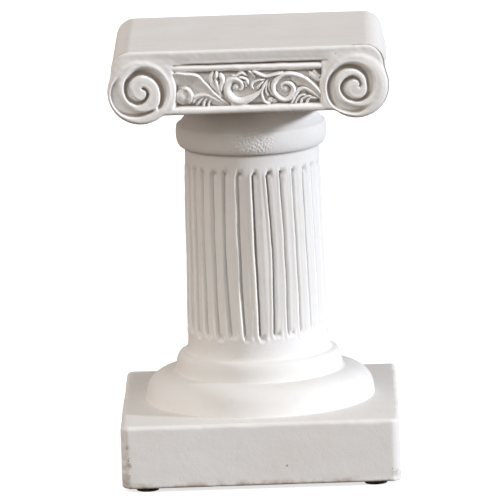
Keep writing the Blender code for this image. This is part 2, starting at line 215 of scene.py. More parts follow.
plinthLook = {
    "halfWidth": 71.0,
    "cornerRadius": 4.5,
    "edgeRadius": 2.4,        # of the upper edge, on average
    "edgeWander": 0.55,
    "footRadius": 1.5,
    "waviness": 0.16,         # how far the sides bow in
    "roughness": 0.05,        # and how far their small dips reach
    "straightSteps": 84,
    "cornerSteps": 16,
    # x, y, z, radius, depth of each chip and worn spot
    "chips": [
        (-71.0, -69.0, 27.0, 2.4, 0.7), (-71.0, -70.0, 22.5, 2.0, 0.9), (-70.5, -70.5, 17.5, 2.6, 0.8),
        (-70.5, -70.0, 12.5, 2.2, 1.0), (-70.0, -71.0, 8.0, 2.8, 0.9), (-70.5, -70.0, 3.5, 5.0, 1.7),
        (70.5, -70.5, 4.0, 4.0, 1.2), (20.0, -70.5, 2.6, 3.0, 0.5), (-22.0, -70.5, 2.6, 4.0, 0.5),
        (48.0, -70.6, 34.2, 2.0, 0.5), (-30.0, -70.8, 34.0, 2.2, 0.4), (70.8, 12.0, 34.0, 2.5, 0.6),
        (-70.8, 30.0, 33.8, 2.8, 0.6), (10.0, 70.6, 34.0, 3.0, 0.7), (70.4, 70.4, 30.0, 3.0, 0.9),
    ],
    "pinholes": [
        (13.2, -70.9, 12.2, 0.6, 0.8), (-41.0, -70.9, 20.0, 0.35, 0.4), (55.0, -70.9, 8.0, 0.4, 0.4),
    ],
}


# One turn round a square with round corners. Each point is a corner's middle plus the corner radius times
# its direction; along a side the middle runs from one corner to the next.
def squareRing(half, corner):
    straight = plinthLook["straightSteps"]
    arc = plinthLook["cornerSteps"]
    quarter = np.repeat(np.arange(4), straight + arc)
    step = np.tile(np.arange(straight + arc), 4)
    turning = np.clip(step - straight, 0, None) / arc
    going = np.clip(step / straight, 0.0, 1.0)
    angle = math.pi / 2 * (quarter + turning - 1.0)
    signX = np.array([1, 1, -1, -1])
    signY = np.array([-1, 1, 1, -1])
    # side k runs from corner k to corner k + 1, counter-clockwise from the right front corner
    fromX, toX = signX[quarter], signX[(quarter + 1) % 4]
    fromY, toY = signY[quarter], signY[(quarter + 1) % 4]
    reach = half - corner
    x = reach * (fromX + (toX - fromX) * going) + corner * np.cos(angle + math.pi / 2)
    y = reach * (fromY + (toY - fromY) * going) + corner * np.sin(angle + math.pi / 2)
    return x, y


# Chips and pinholes. Points near one move towards the middle of the plinth's foot, by depth * dome; the way
# there is the place itself, divided by its distance from the upright axis.
def pressDents(points, dents):
    for x, y, z, radius, depth in dents:
        share = dome(np.linalg.norm(points - np.array([x, y, z]), axis=-1), radius)
        outwards = points / np.linalg.norm(points[..., :2], axis=-1).clip(1.0)[..., None]
        points = points - outwards * (depth * share)[..., None]
    return points


def makePlinth(finish):
    look = plinthLook
    around = 4 * (look["straightSteps"] + look["cornerSteps"])
    turn = np.arange(around) / around
    wander = look["edgeWander"] * ripple(3, 0.16, np.cos(2 * math.pi * turn), np.sin(2 * math.pi * turn))
    edge = np.clip(look["edgeRadius"] + wander, 1.5, 3.4)
    half, corner = look["halfWidth"], look["cornerRadius"]
    top, foot = plinthTop, columnFoot
    rows = []

    def addRow(inset, height):
        shrunk = np.maximum(corner - inset, 0.3)
        x, y = squareRing(half - inset, shrunk)
        rows.append(np.stack([x, y, height + 0.0 * x], axis=1))

    for share in np.linspace(0.02, 1.0, 34)[:-1]:
        addRow(edge + (1.0 - share) * (half - edge), top)
    for angle in np.linspace(0.0, math.pi / 2, 9):
        addRow(edge * (1.0 - math.sin(angle)), top - edge * (1.0 - math.cos(angle)))
    footRadius = look["footRadius"]
    for share in np.linspace(0.0, 1.0, 30)[1:-1]:
        addRow(0.0 * turn, (top - edge) * (1.0 - share) + (foot + footRadius) * share)
    for angle in np.linspace(math.pi / 2, 0.0, 7):
        inset = footRadius * (1.0 - math.sin(angle))
        addRow(inset + 0.0 * turn, foot + footRadius * (1.0 - math.cos(angle)))
    for share in np.linspace(1.0, 0.02, 12)[1:]:
        addRow(footRadius + (1.0 - share) * (half - footRadius) + 0.0 * turn, foot)
    points = np.array(rows)
    x, y, z = points[..., 0], points[..., 1], points[..., 2]
    # the sides bow and dip a little, always inwards, so the casting stays in its box
    dip = look["waviness"] * (1.1 + ripple(5, 55.0, x, y, z))
    dip = dip + look["roughness"] * (1.1 + ripple(6, 9.0, x, y, z))
    side = smoothStep(half - 6.0, half, np.maximum(abs(x), abs(y))) * smoothStep(foot, foot + 3.0, z)
    outX = smoothStep(-8.0, 0.0, abs(x) - abs(y)) * np.sign(x)
    outY = smoothStep(-8.0, 0.0, abs(y) - abs(x)) * np.sign(y)
    points[..., 0] -= dip * side * outX
    points[..., 1] -= dip * side * outY
    onTop = smoothStep(top - 3.0, top, z)
    points[..., 2] -= onTop * 0.6 * dip
    points = pressDents(points, look["chips"] + look["pinholes"])
    points[..., 2] = np.maximum(points[..., 2], foot)
    plinth = closedMesh("plinth_body", (0, 0, top), points, (0, 0, foot))
    return settle(plinth, finish, "gypsum", "column")


# Turned base, fluted shaft, ring and neck

shaftLook = {
    "lowerTier": (58.8, 16.0),     # radius and how far it steps in
    "upperTier": (42.8, 4.3),
    "flareReach": 2.3,
    "footRadius": 36.2,
    "headRadius": 34.5,
    "tierFullness": 0.78,
    "ringReach": 4.3,
    "ringHeight": 7.3,
    "ringFullness": 0.7,
    "ringCut": math.radians(38),
    "neckRadius": 34.0,
    "neckShade": 0.42,             # painted shade on the ring and neck under the capital
    "fluteCount": 30,
    "fluteTurn": math.radians(3.8),
    "fluteWidth": 5.2,
    "fluteDepth": 2.8,
    "fluteFoot": 4.5,              # how far above the shaft's foot the flutes start
    "fluteHead": 8.4,              # how far below its head they end
    "fluteWall": 0.75,             # how wide a flute's steep wall is
    "floorShares": (0.68, 0.32),   # of the depth: in the crevice by the left wall, and in the sloping floor
    "lip": (0.46, 0.45, 1.3),      # height, how far outside the border it stands, reach to either side
    "fluteShade": (0.42, 0.6),      # painted shade beside the left wall, and how much more of it on the shaft's sunlit right
    "fluteLean": 1.5,              # how far further left each flute's head stands than its foot
    # how far the middle of a flute bows to the right, from the fourth one left of the front one on
    "fluteBow": (-0.65, -1.15, -1.9, -1.1, 0.0, 1.85, 1.2, 0.3),
    "columnsPerFlute": 20,
    "crowding": 0.62,              # how much closer the columns stand where the flutes are deepest
    "scars": [(29, 153, 3.0, 0.5), (-34, 112, 9.0, -0.5), (-3, 84, 2.5, 0.5), (62, 90, 4.0, -0.5),
              (8, 136, 2.0, 0.35), (-20, 130, 2.0, -0.4)],
}


# Quarter-round of a tier: upright where it starts and level where it ends
def tierCurve(radius, step, foot, top, steps):
    angle = np.linspace(0.0, math.pi / 2, steps)
    full = shaftLook["tierFullness"]
    reach = np.cos(angle).clip(0.0) ** full
    return np.stack([radius - step + step * reach, foot + (top - foot) * np.sin(angle) ** full], axis=1)


def shaftProfile():
    look = shaftLook
    parts = []

    def addStretch(radius, height):
        parts.append(np.stack([radius, height], axis=1))

    parts.append(np.array([[look["lowerTier"][0], plinthTop - 2.0]]))
    parts.append(tierCurve(*look["lowerTier"], plinthTop, lowerTierTop, 22))
    parts.append(tierCurve(*look["upperTier"], lowerTierTop + 0.05, upperTierTop, 16))
    angle = np.linspace(0.0, math.pi / 2, 9)[1:]
    rise = shaftFoot - upperTierTop
    flare = look["footRadius"] + look["flareReach"] * (1 - np.sin(angle))
    addStretch(flare, upperTierTop + rise * (1 - np.cos(angle)))
    share = np.linspace(0.0, 1.0, 62)[1:-1]
    radius = look["footRadius"] + (look["headRadius"] - look["footRadius"]) * share
    addStretch(radius, shaftFoot + (shaftHead - shaftFoot) * share)
    angle = np.linspace(-math.pi / 2, look["ringCut"], 22)
    bulge = look["ringReach"] * np.cos(angle).clip(0.0) ** look["ringFullness"]
    middle = shaftHead + look["ringHeight"]
    addStretch(look["headRadius"] + bulge, middle + look["ringHeight"] * np.sin(angle))
    # above the crease the ring slopes in to the neck
    creaseRadius, creaseHeight = parts[-1][-1]
    share = np.linspace(0.0, 1.0, 8)[1:]
    radius = creaseRadius - 0.35 + (look["neckRadius"] - creaseRadius + 0.35) * share
    addStretch(radius, creaseHeight + 0.15 + (neckFoot - creaseHeight - 0.15) * share ** 1.25)
    share = np.linspace(0.0, 1.0, 7)[1:]
    radius = look["neckRadius"] + 0.0 * share
    addStretch(radius, neckFoot + (underside + 2.0 - neckFoot) * share)
    return np.concatenate(parts)


# How deep the flutes are, and what the shaft's finish paints on it: painted shade beside each flute's left
# wall, stronger on the sunlit right where the flutes cast shadows, painted shade on the ring and neck under
# the capital, a painted shadow in the crease under the ring, and a painted highlight on the lips. Each
# flute is a round-ended slot, whose wall drops steeply from its border. The floor is deepest beside the
# left wall and under the head, and rises to the right. A thin lip stands along the left wall and round the
# foot.
def fluteDepth(angle, height, radius):
    look = shaftLook
    count = look["fluteCount"]
    pitch = 2 * math.pi / count
    place = (angle - look["fluteTurn"]) / pitch
    number = np.round(place)
    which = number.astype(int) % count
    aside = np.sin(angle)
    wobble = np.random.default_rng(11).uniform(-1.0, 1.0, size=(5, count))
    width = look["fluteWidth"] + 0.3 * wobble[0][which] + 0.16 * ripple(12, 14.0, height, 30.0 * number)
    deep = look["fluteDepth"] * (1.0 + 0.12 * wobble[1][which]) * (0.95 + 0.25 * np.sin(angle + 0.25))
    # each flute leans, bows and wanders a little
    up = (height - shaftFoot) / (shaftHead - shaftFoot)
    bow = np.roll(np.pad(look["fluteBow"], (0, count - len(look["fluteBow"]))), -4)
    drift = bow[which] * np.sin(math.pi * np.clip(up, 0.0, 1.0)) - look["fluteLean"] * (up - 0.33)
    across = (place - number) * pitch * radius - drift + 0.18 * wobble[2][which]
    across = across + 0.14 * ripple(13, 22.0, height, 17.0 * number)
    across = across + 0.05 * ripple(14, 3.0, height, 11.0 * number)
    foot = shaftFoot + look["fluteFoot"] + width / 2 + 0.9 * wobble[3][which]
    head = shaftHead - look["fluteHead"] - width / 2 + 0.9 * wobble[4][which]
    belowFoot, aboveHead = np.maximum(foot - height, 0.0), np.maximum(height - head, 0.0)
    inside = width / 2 - np.hypot(across, belowFoot + aboveHead)
    wall = smoothStep(0.0, look["fluteWall"], inside)
    rightwards = np.clip((across + width / 2) / width, 0.0, 1.0)
    rightwards = rightwards * (1.0 - 0.6 * smoothStep(0.0, 1.6, aboveHead))
    atFoot = smoothStep(0.3, 1.5, belowFoot)
    inCrevice, inSlope = look["floorShares"]
    crevice = inCrevice * np.maximum(1.0 - smoothStep(0.2, 0.46, rightwards), 0.5 * atFoot)
    floor = crevice + inSlope * (1.0 - 0.85 * rightwards * (1.0 - atFoot))
    proud, outside, reach = look["lip"]
    lipPlace = np.maximum(1.0 - smoothStep(-0.2, 0.2, across / width), smoothStep(0.0, 1.5, belowFoot))
    lip = proud * dome(abs(inside + outside), reach) * lipPlace
    lip = lip * smoothStep(look["fluteWidth"] / 2, 0.0, aboveHead)
    least, more = look["fluteShade"]
    # painted shade beside each flute's left wall, stronger on the sunlit right side of the shaft
    dustAndShade = wall * (1.0 - smoothStep(0.16, 0.42, rightwards)) * (least + more * smoothStep(-0.4, 0.2, aside))
    # painted shade on the ring and neck under the capital, on the side away from the window, and a painted
    # shadow in the crease under the ring
    shadeUnderCapital = smoothStep(shaftHead - 1.0, neckFoot + 3.0, height)
    shadeUnderCapital = shadeUnderCapital * smoothStep(0.5, -0.1, aside) * smoothStep(-1.05, -0.4, aside)
    crease = dome(abs(height - shaftHead - 0.1), 0.7) * smoothStep(1.05, 0.6, aside)
    dustAndShade = np.maximum(dustAndShade, look["neckShade"] * np.maximum(shadeUnderCapital, 1.2 * crease))
    # the lip's height is also taken off the hollow value, so the finish paints a highlight on it
    return deep * wall * floor - lip, dustAndShade - lip


def makeShaft(finish):
    look = shaftLook
    profile = shaftProfile()
    # columns crowd together at each flute's left wall: place = even - crowding * sin(2 pi even) / 2 pi
    columns = look["columnsPerFlute"] * look["fluteCount"]
    even = np.arange(columns) / look["columnsPerFlute"]
    crowded = even - look["crowding"] * np.sin(2 * math.pi * even) / (2 * math.pi)
    angle = look["fluteTurn"] + (crowded - 0.27) * 2 * math.pi / look["fluteCount"]
    angle, radius = np.meshgrid(angle, profile[:, 0])
    height = np.repeat(profile[:, 1:], columns, axis=1)
    x, y = radius * np.sin(angle), -radius * np.cos(angle)
    depth, dustAndShade = fluteDepth(angle, height, radius)
    radius = radius - depth
    lumps = 0.12 * ripple(21, 42.0, x, y, height) + 0.05 * ripple(22, 8.0, x, y, height)
    keep = smoothStep(plinthTop, plinthTop + 3.0, height)
    radius = radius + lumps * keep
    # small burrs and scars on the ridges between flutes: angle in degrees, height, length, how proud
    for degrees, level, tall, proud in look["scars"]:
        aside = (angle - math.radians(degrees) + math.pi) % (2 * math.pi) - math.pi
        radius = radius + proud * dome(np.hypot(aside * radius / 1.1, (height - level) / tall), 1.0)
    points = np.stack([radius * np.sin(angle), -radius * np.cos(angle), height], axis=2)
    foot, head = (0, 0, profile[0, 1]), (0, 0, profile[-1, 1])
    shaft = closedMesh("shaft_body", foot, points, head)
    markHollows(shaft, 0, dustAndShade)
    return settle(shaft, finish, "gypsum", "column")


# Capital

capitalLook = {
    "halfWidth": 69.0,
    "cornerRadius": 10.0,
    "edgeRadius": 1.9,
    "rimRoll": 1.5,
    "fasciaHeight": 7.6,
    "fasciaLean": 1.4,         # how far its lower edge lies behind its upper edge
    "shoulder": 0.8,           # how far the upper edge turns back above each scroll
    "panelDepth": 3.9,
    "panelHalf": 37.4,
    "grooveSpan": (-36.0, 42.0),
    "grooveDepth": 1.5,
    "upperBeadSpan": (-40.5, 38.4),
    "upperBead": (9.25, 0.011, 1.9),    # how far its middle lies under the top, its slope, half its height
    "upperBeadTip": 1.8,       # length of its round ends
    "lowerBeadHalf": 2.15,     # half its height
    "shadeSpan": 0.85,          # a hollow this deep gets the full painted shade
    "crestHighlightGain": 1.4,          # how much more than a hollow a crest counts, for its painted highlight
    "waistRadius": 15.4,
    "collarDepth": 7.0,
    "collarSlope": 9.0,
    "columns": 380,
    "rows": 92,
}

# Spiral channels: outer and inner radius and depth, one channelStep apart from the stated angle on. The
# angle runs in degrees from the scroll's outer side through its bottom. A channel's wall is steep on its
# outer side where the angle is near steepAt, and on its inner side half a turn away.
channelStep = 45.0
frontChannels = {
    left: [
        {
            "from": -45.0, "steepAt": 45.0, "ends": (30.0, 16.0),
            "outer": (13.8, 15.6, 15.0, 12.8, 12.4),
            "inner": (12.2, 9.4, 8.0, 9.2, 10.6),
            "depth": (0.9, 2.2, 2.7, 2.4, 0.9),
        },
        {
            "from": 130.0, "steepAt": 45.0, "ends": (14.0, 40.0),
            "outer": (13.4, 14.8, 14.8, 13.6, 10.8, 8.6, 7.6, 6.7, 5.7, 5.1, 4.2, 3.2),
            "inner": (11.2, 9.6, 8.8, 8.1, 6.2, 3.6, 3.2, 3.3, 3.2, 2.8, 2.1, 1.5),
            "depth": (2.2, 3.1, 3.5, 3.6, 3.6, 3.4, 3.1, 2.7, 2.8, 2.7, 2.3, 1.6),
        },
    ],
    right: [
        {
            "from": 45.0, "steepAt": 135.0, "ends": (40.0, 40.0),
            "outer": (12.4, 14.4, 15.8, 15.4, 14.2, 12.2, 11.2, 10.0, 9.3,
                      8.6, 8.7, 8.6, 7.0, 5.3, 4.0, 3.2, 2.6),
            "inner": (11.0, 9.8, 9.7, 9.3, 9.7, 7.5, 5.8, 4.8, 5.6, 5.9, 5.0, 3.6, 3.3, 2.6, 1.9, 1.1, 0.6),
            "depth": (0.9, 2.5, 3.1, 3.4, 3.2, 3.7, 3.9, 3.7, 3.2, 2.7, 3.0, 3.1, 2.9, 2.6, 2.1, 1.7, 1.1),
        },
    ],
}
backChannels = [
    {
        "from": -45.0, "steepAt": 90.0, "ends": (50.0, 50.0),
        "outer": (14.6, 15.4, 15.6, 15.6, 15.4, 15.0, 14.4, 13.7, 12.9,
                  12.0, 11.0, 10.1, 9.2, 8.2, 7.2, 6.2),
        "inner": (12.6, 11.6, 11.2, 10.9, 10.5, 10.0, 9.5, 8.8, 8.1, 7.2, 6.3, 5.4, 4.6, 3.8, 3.0, 2.4),
        "depth": (0.6, 1.6, 2.3, 2.5, 2.6, 2.6, 2.6, 2.6, 2.6, 2.6, 2.5, 2.4, 2.3, 2.1, 1.8, 1.4),
    },
]
rimCrest = (16.2, 15.6, 17.3, 14.7, 16.2)      # radius of the rim's crest, each quarter turn


# How deep the channels lie. For each turn the angle picks the radii; share runs from 0 at the inner one to
# 1 at the outer one, and the channel is deepest at a place set by its steep side. With t the share of the
# way from either border to there, the depth is deepest * (1 - (1 - t) to the power 1.7), eased in at the
# borders.
def channelDepth(distance, angle, channels):
    deepest = 0.0 * distance
    for channel in channels:
        first = channel["from"]
        last = first + channelStep * (len(channel["depth"]) - 1)
        start, finish = channel["ends"]
        for turn in (-360, 0, 360, 720):
            swept = angle + turn
            place = (swept - first) / channelStep
            outer = throughKnots(channel["outer"], place)
            inner = throughKnots(channel["inner"], place)
            depth = throughKnots(channel["depth"], place)
            wander = 0.14 * ripple(33, 50.0, swept, 40.0 + 0.0 * swept)
            share = np.clip((distance - inner - wander) / (outer - inner), 0.0, 1.0)
            lowest = 0.5 + 0.34 * np.cos(np.radians(swept - channel["steepAt"]))
            t = np.where(share < lowest, share / lowest, (1.0 - share) / (1.0 - lowest))
            ends = smoothStep(first, first + start, swept) * smoothStep(last, last - finish, swept)
            rounded = 0.3 + 0.7 * smoothStep(0.0, 0.4, t)
            deepest = np.maximum(deepest, depth * ends * (1.0 - (1.0 - t) ** 1.7) * rounded)
    return deepest


# Distance inwards from the capital's outline: the slab with its round shoulders, joined to the two scrolls
def insideDistance(x, z):
    look = capitalLook
    aside = abs(x)
    corner = look["cornerRadius"]
    cornerX = look["halfWidth"] - corner
    cornerZ = columnTop - corner
    beyondX, beyondZ = np.maximum(aside - cornerX, 0.0), np.maximum(z - cornerZ, 0.0)
    slab = corner - np.hypot(beyondX, beyondZ)
    onSquare = (beyondX == 0.0) & (beyondZ == 0.0)
    slab = np.where(onSquare, corner + np.minimum(cornerX - aside, cornerZ - z), slab)
    slab = np.minimum(slab, z - voluteMiddle)
    block = np.minimum(voluteSpacing / 2 - aside, z - underside)
    block = np.minimum(block, columnTop - 6.0 - z)
    scroll = voluteRadius - np.hypot(aside - voluteSpacing / 2, z - voluteMiddle)
    return softMax(softMax(slab, scroll, 1.6), block, 1.0)


# The direction in which the outline's inside distance grows, from small steps either way
def insideDirection(x, z):
    step = 0.05
    acrossX = insideDistance(x + step, z) - insideDistance(x - step, z)
    acrossZ = insideDistance(x, z + step) - insideDistance(x, z - step)
    length = np.maximum(np.hypot(acrossX, acrossZ), 1e-9)
    return acrossX / length, acrossZ / length


# Where a column of the face meets the outline, by halving the interval between inside and outside
def outlineHeight(x, inside, outside):
    inside, outside = inside + 0.0 * x, outside + 0.0 * x
    for halving in range(40):
        middle = (inside + outside) / 2
        within = insideDistance(x, middle) > 0.0
        inside = np.where(within, middle, inside)
        outside = np.where(within, outside, middle)
    return inside


# How far the face lies behind its foremost plane
def faceDepth(x, z, channels):
    look = capitalLook
    side = np.sign(x)
    aside, below = abs(x) - voluteSpacing / 2, voluteMiddle - z
    fromVolute, angle = np.hypot(aside, below), np.degrees(np.arctan2(below, aside))
    # the fascia leans back from its upper edge, and each scroll's rim stands forward of it
    crest = throughKnots(rimCrest, (angle % 360.0) / 90.0)
    offRim = smoothStep(crest + 0.2, crest + 9.0, fromVolute)
    lean = look["fasciaLean"] * np.clip((columnTop - z) / look["fasciaHeight"], 0.0, 1.0) ** 1.3
    shoulder = look["shoulder"] * smoothStep(columnTop - 6.0, columnTop, z)
    depth = shoulder + (lean - shoulder) * offRim
    # the sunk panel between the rims, softer at its left end; the wall at its right end is sharp beside the
    # small leaf and softer below it
    floor = look["panelDepth"]
    soft = 0.5 + 2.3 * smoothStep(panelTop - 3.0, panelTop - 7.0, z)
    half = look["panelHalf"]
    sides = smoothStep(-half - 1.0, -half + 2.4, x) * smoothStep(half + 0.2, half + 0.2 - soft, x)
    inPanel = smoothStep(crest + 0.3, crest + 1.3, fromVolute) * sides
    lintel = columnTop - look["fasciaHeight"]
    depth = depth + (floor - depth) * inPanel * smoothStep(lintel + 0.2, lintel - 0.3, z)
    # the two beads, each half-round and proud of the panel's floor
    low, high = look["upperBeadSpan"]
    under, fall, tall = look["upperBead"]
    tip = look["upperBeadTip"]
    wave = 0.12 * ripple(31, 11.0, x, 0.0 * x)
    beyond = np.maximum(low + tip - x, 0.0) + np.maximum(x - high + tip, 0.0)
    middle = columnTop - under - fall * (x + 37.0)
    share = np.hypot((z - middle - wave) / tall, beyond / tip)
    upper = floor - (floor - 0.4) * np.sqrt(np.maximum(1.0 - share ** 2, 0.0)) ** 0.8
    depth = softMin(depth, upper, 0.15)
    middle = (underside + panelFoot) / 2
    wave = 0.14 * ripple(32, 15.0, x, 0.0 * x)
    share = abs(z - middle - wave) / look["lowerBeadHalf"]
    lower = floor - (floor - 0.2) * np.sqrt(np.maximum(1.0 - share ** 2.2, 0.0)) ** 0.8
    lower = np.where(z < middle, 0.2, lower)
    between = smoothStep(39.5, 37.5, abs(x))
    depth = depth + (softMin(depth, lower, 0.2) - depth) * between
    # a thin dark groove under the fascia
    low, high = look["grooveSpan"]
    ends = smoothStep(low, low + 9.0, x) * smoothStep(high, high - 9.0, x)
    depth = depth + look["grooveDepth"] * ends * dome(abs(z - lintel - wave), 0.8)
    # the scrolls' channels, and their rims, which roll back on their outer sides
    for end in (left, right):
        spiral = channelDepth(fromVolute, angle, channels[end])
        depth = np.where(side == end, depth + spiral, depth)
    outwards = np.clip(np.cos(np.radians(angle)), 0.0, 1.0)
    depth = depth + look["rimRoll"] * outwards * smoothStep(12.2, 17.5, fromVolute) * (side == right)
    depth = depth + 0.35 * look["rimRoll"] * smoothStep(14.8, 17.0, fromVolute) * (1.0 - offRim)
    radius = look["edgeRadius"]
    edge = np.clip(insideDistance(x, z), 0.0, radius)
    return np.maximum(depth, 0.0) + radius - np.sqrt(np.maximum(radius ** 2 - (radius - edge) ** 2, 0.0))


# One face as a grid, with its points closer together at the scrolls and at the upper and lower edges, and
# how hollow it is there: its depth less the mean depth round about
def capitalGrid(channels, face):
    look = capitalLook
    even = np.linspace(-1.0, 1.0, look["columns"])
    reach = voluteSpacing / 2 + voluteRadius * math.cos(0.05)
    x = reach * (0.5 * even + 0.5 * np.sin(math.pi / 2 * even))
    lower = outlineHeight(x, voluteMiddle, underside - 12.0)
    upper = outlineHeight(x, voluteMiddle, columnTop + 8.0)
    share = np.linspace(0.0, 1.0, look["rows"])
    share = 0.72 * share + 0.28 * (0.5 - 0.5 * np.cos(math.pi * share))
    z = lower + (upper - lower) * share[:, None]
    x = np.repeat(x[None, :], look["rows"], axis=0)
    z = np.minimum(z, columnTop - 0.005)  # just inside the solid part
    depth = faceDepth(x, z, channels)
    depth = depth + 0.06 * (1.0 + ripple(41, 7.0, x, z)) + 0.03 * (1.0 + ripple(42, 2.6, x, z))
    # painted shade in the face's hollows and a painted highlight on its crests, both weaker towards the
    # right
    span = look["shadeSpan"] + 0.3 * smoothStep(0.0, 40.0, x)
    hollow = (depth - blurred(depth, 5)) / span * smoothStep(0.8, 3.2, insideDistance(x, z))
    hollow = np.where(hollow < 0.0, look["crestHighlightGain"] * hollow, hollow)
    return np.stack([x, face * (capitalHalfDepth - depth), z], axis=2), hollow


def makeCapital(finish):
    look = capitalLook
    near, nearHollow = capitalGrid(frontChannels, front)
    far, farHollow = capitalGrid({left: backChannels, right: backChannels}, back)
    edge = border(look["rows"], look["columns"])
    nearEdge = near.reshape(-1, 3)[edge]
    # between the collars the scrolls draw in towards their own axis
    x, z = nearEdge[:, 0], nearEdge[:, 2]
    outX, outZ = x - np.sign(x) * voluteSpacing / 2, z - voluteMiddle
    distance = np.hypot(outX, outZ)
    onScroll = smoothStep(1.2, 0.0, abs(distance - voluteRadius)) * smoothStep(9.5, 3.0, outZ)
    drawIn = (voluteRadius - look["waistRadius"]) * onScroll / np.maximum(distance, 1.0)
    collar, slope = look["collarDepth"], look["collarSlope"]
    half = capitalHalfDepth
    fromFace = np.concatenate([np.linspace(2.2, collar, 4), collar + slope * np.linspace(0.0, 1.0, 8)[1:]])
    inBetween = np.linspace(collar + slope - half, half - collar - slope, 10)[1:-1]
    stations = np.concatenate([fromFace - half, inBetween, (half - fromFace)[::-1]])
    waist = smoothStep(collar, collar + slope, half - abs(stations))
    inwards = insideDirection(x, z)
    rings = []
    for station, narrow in zip(stations, waist):
        ring = nearEdge.copy()
        share = (station + half) / (2 * half)
        ring[:, 1] = station
        ring[:, 0] -= outX * drawIn * narrow
        ring[:, 2] -= outZ * drawIn * narrow
        # the body is dented a little all over, always inwards, less and less towards the faces
        swell = 0.10 * np.maximum(1.0 + ripple(43, 24.0, ring[:, 0], ring[:, 1], ring[:, 2]), 0.0)
        fade = min(1.0, 6.0 * share, 6.0 * (1.0 - share))
        ring[:, 0] += inwards[0] * swell * fade
        ring[:, 2] += inwards[1] * swell * fade
        rings.append(ring)
    capital = closedMesh("capital_body", near, rings, far)
    start = len(rings) * len(edge)
    markHollows(capital, start, nearHollow)
    markHollows(capital, start + nearHollow.size, farHollow)
    return settle(capital, finish, "gypsum", "column")


# Carving. Places are millimetres from the panel's middle, and up from the lower bead.

carvingLook = {
    "halfLength": 37.6,
    "sink": 0.5,           # the slab's own floor lies this far under the panel's
    "boost": 1.28,         # of every ridge's height
    "fullness": 0.55,      # of a ridge's and a boss's section; smaller is fuller
    "sway": 0.12,
    # painted shade, with some dust, on the carving's low floor
    "shadeSpan": 0.9,       # a hollow this deep gets the full painted shade
    "floorShade": 0.42,
    "shadeDrift": (0.85, 0.65),    # share of the painted shade at the middle, and how much more at the right end, which is painted darker
    "columns": 376,
    "rows": 92,
}


# A ridge: its path, its half-width to the left and right of the way it runs, its height, how much of its
# width is left at the two ends, how many times wider it grows midway, and whether its right side slopes off
def ridgeOn(path, wide, high, ends, grow=1.0, falls=False):
    return {"path": path, "wide": wide, "high": high, "ends": ends, "grow": grow, "falls": falls}


